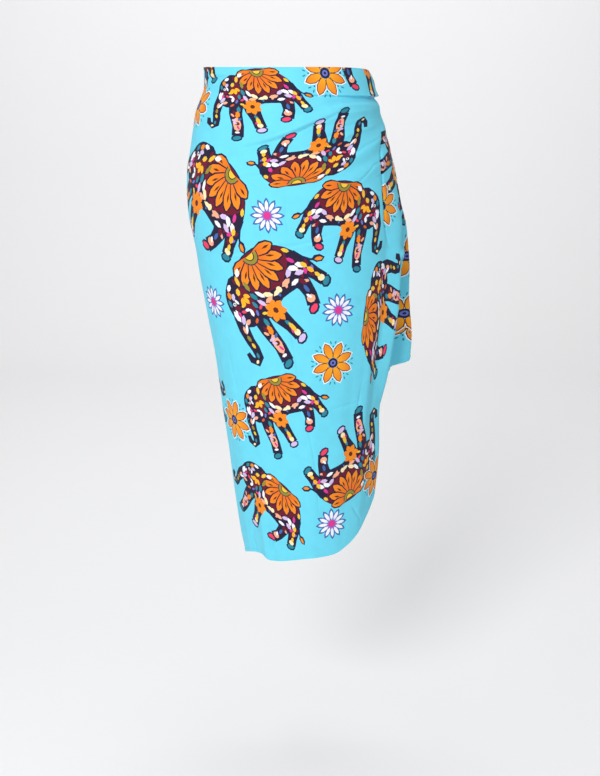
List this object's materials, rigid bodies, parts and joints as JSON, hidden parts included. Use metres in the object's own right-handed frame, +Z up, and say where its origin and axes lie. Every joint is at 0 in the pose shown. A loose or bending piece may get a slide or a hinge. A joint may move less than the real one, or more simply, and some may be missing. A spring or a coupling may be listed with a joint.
{
  "type": "sarong",
  "caption": "Long printed cloth wound round the waist as a wrapped skirt, its last corner drawn up and tucked at the hip so that it hangs in folds.",
  "frame": {"origin": "middle of the waist opening, at the cloth's top edge", "axes": "+Z up along the hanging cloth, the front faces -Y, +X towards the wearer's left hip, where the corner is tucked"},
  "size_m": [0.3569, 0.2344, 0.7759],
  "materials": {
    "printed_cloth": "soft matt light woven cloth, turquoise ground with a many-coloured print",
    "printed_cloth_fall": "soft matt light woven cloth, turquoise ground with a many-coloured print",
    "printed_cloth_under": "soft matt light woven cloth, turquoise ground with a many-coloured print"
  },
  "bodies": {
    "root": {"front_wrap": "printed_cloth", "side_fall": "printed_cloth_fall", "back_wrap": "printed_cloth_under"}
  },
  "joints": []
}
